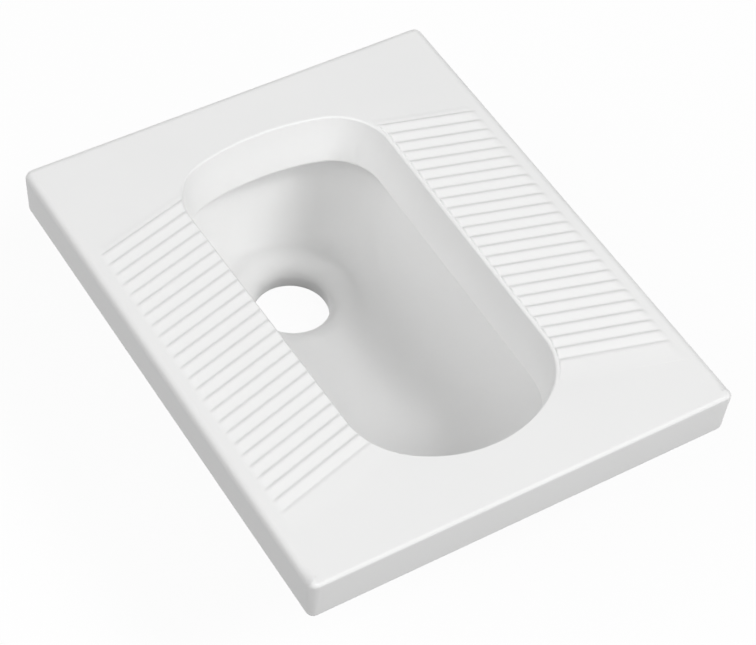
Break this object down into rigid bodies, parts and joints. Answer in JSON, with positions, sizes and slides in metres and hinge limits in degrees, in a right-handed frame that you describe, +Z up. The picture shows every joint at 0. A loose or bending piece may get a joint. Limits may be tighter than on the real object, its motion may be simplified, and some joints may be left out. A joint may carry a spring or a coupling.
{
  "type": "squat toilet pan",
  "caption": "Rectangular glazed china squat pan with ribbed foot treads, a flush rim, a long bowl falling to a straight outlet, and rubber pipe seals.",
  "frame": {"origin": "middle of the pan, on the plane that the outlet's end and the two feet stand on", "axes": "+Z up, +Y along the pan towards the drain, +X across it to the right when looking towards the drain"},
  "size_m": [0.43, 0.53, 0.1846],
  "materials": {
    "china": "white gloss glaze",
    "rubber": "matt moulded"
  },
  "bodies": {
    "root": {"deck": "china", "left_tread": "china", "right_tread": "china", "flush_rim": "china", "bowl": "china", "outlet_spigot": "china", "outlet_seal": "rubber", "inlet_horn": "china", "inlet_seal": "rubber", "left_near_web": "china", "left_far_web": "china", "right_near_web": "china", "right_far_web": "china", "left_foot": "china", "right_foot": "china"}
  },
  "joints": []
}
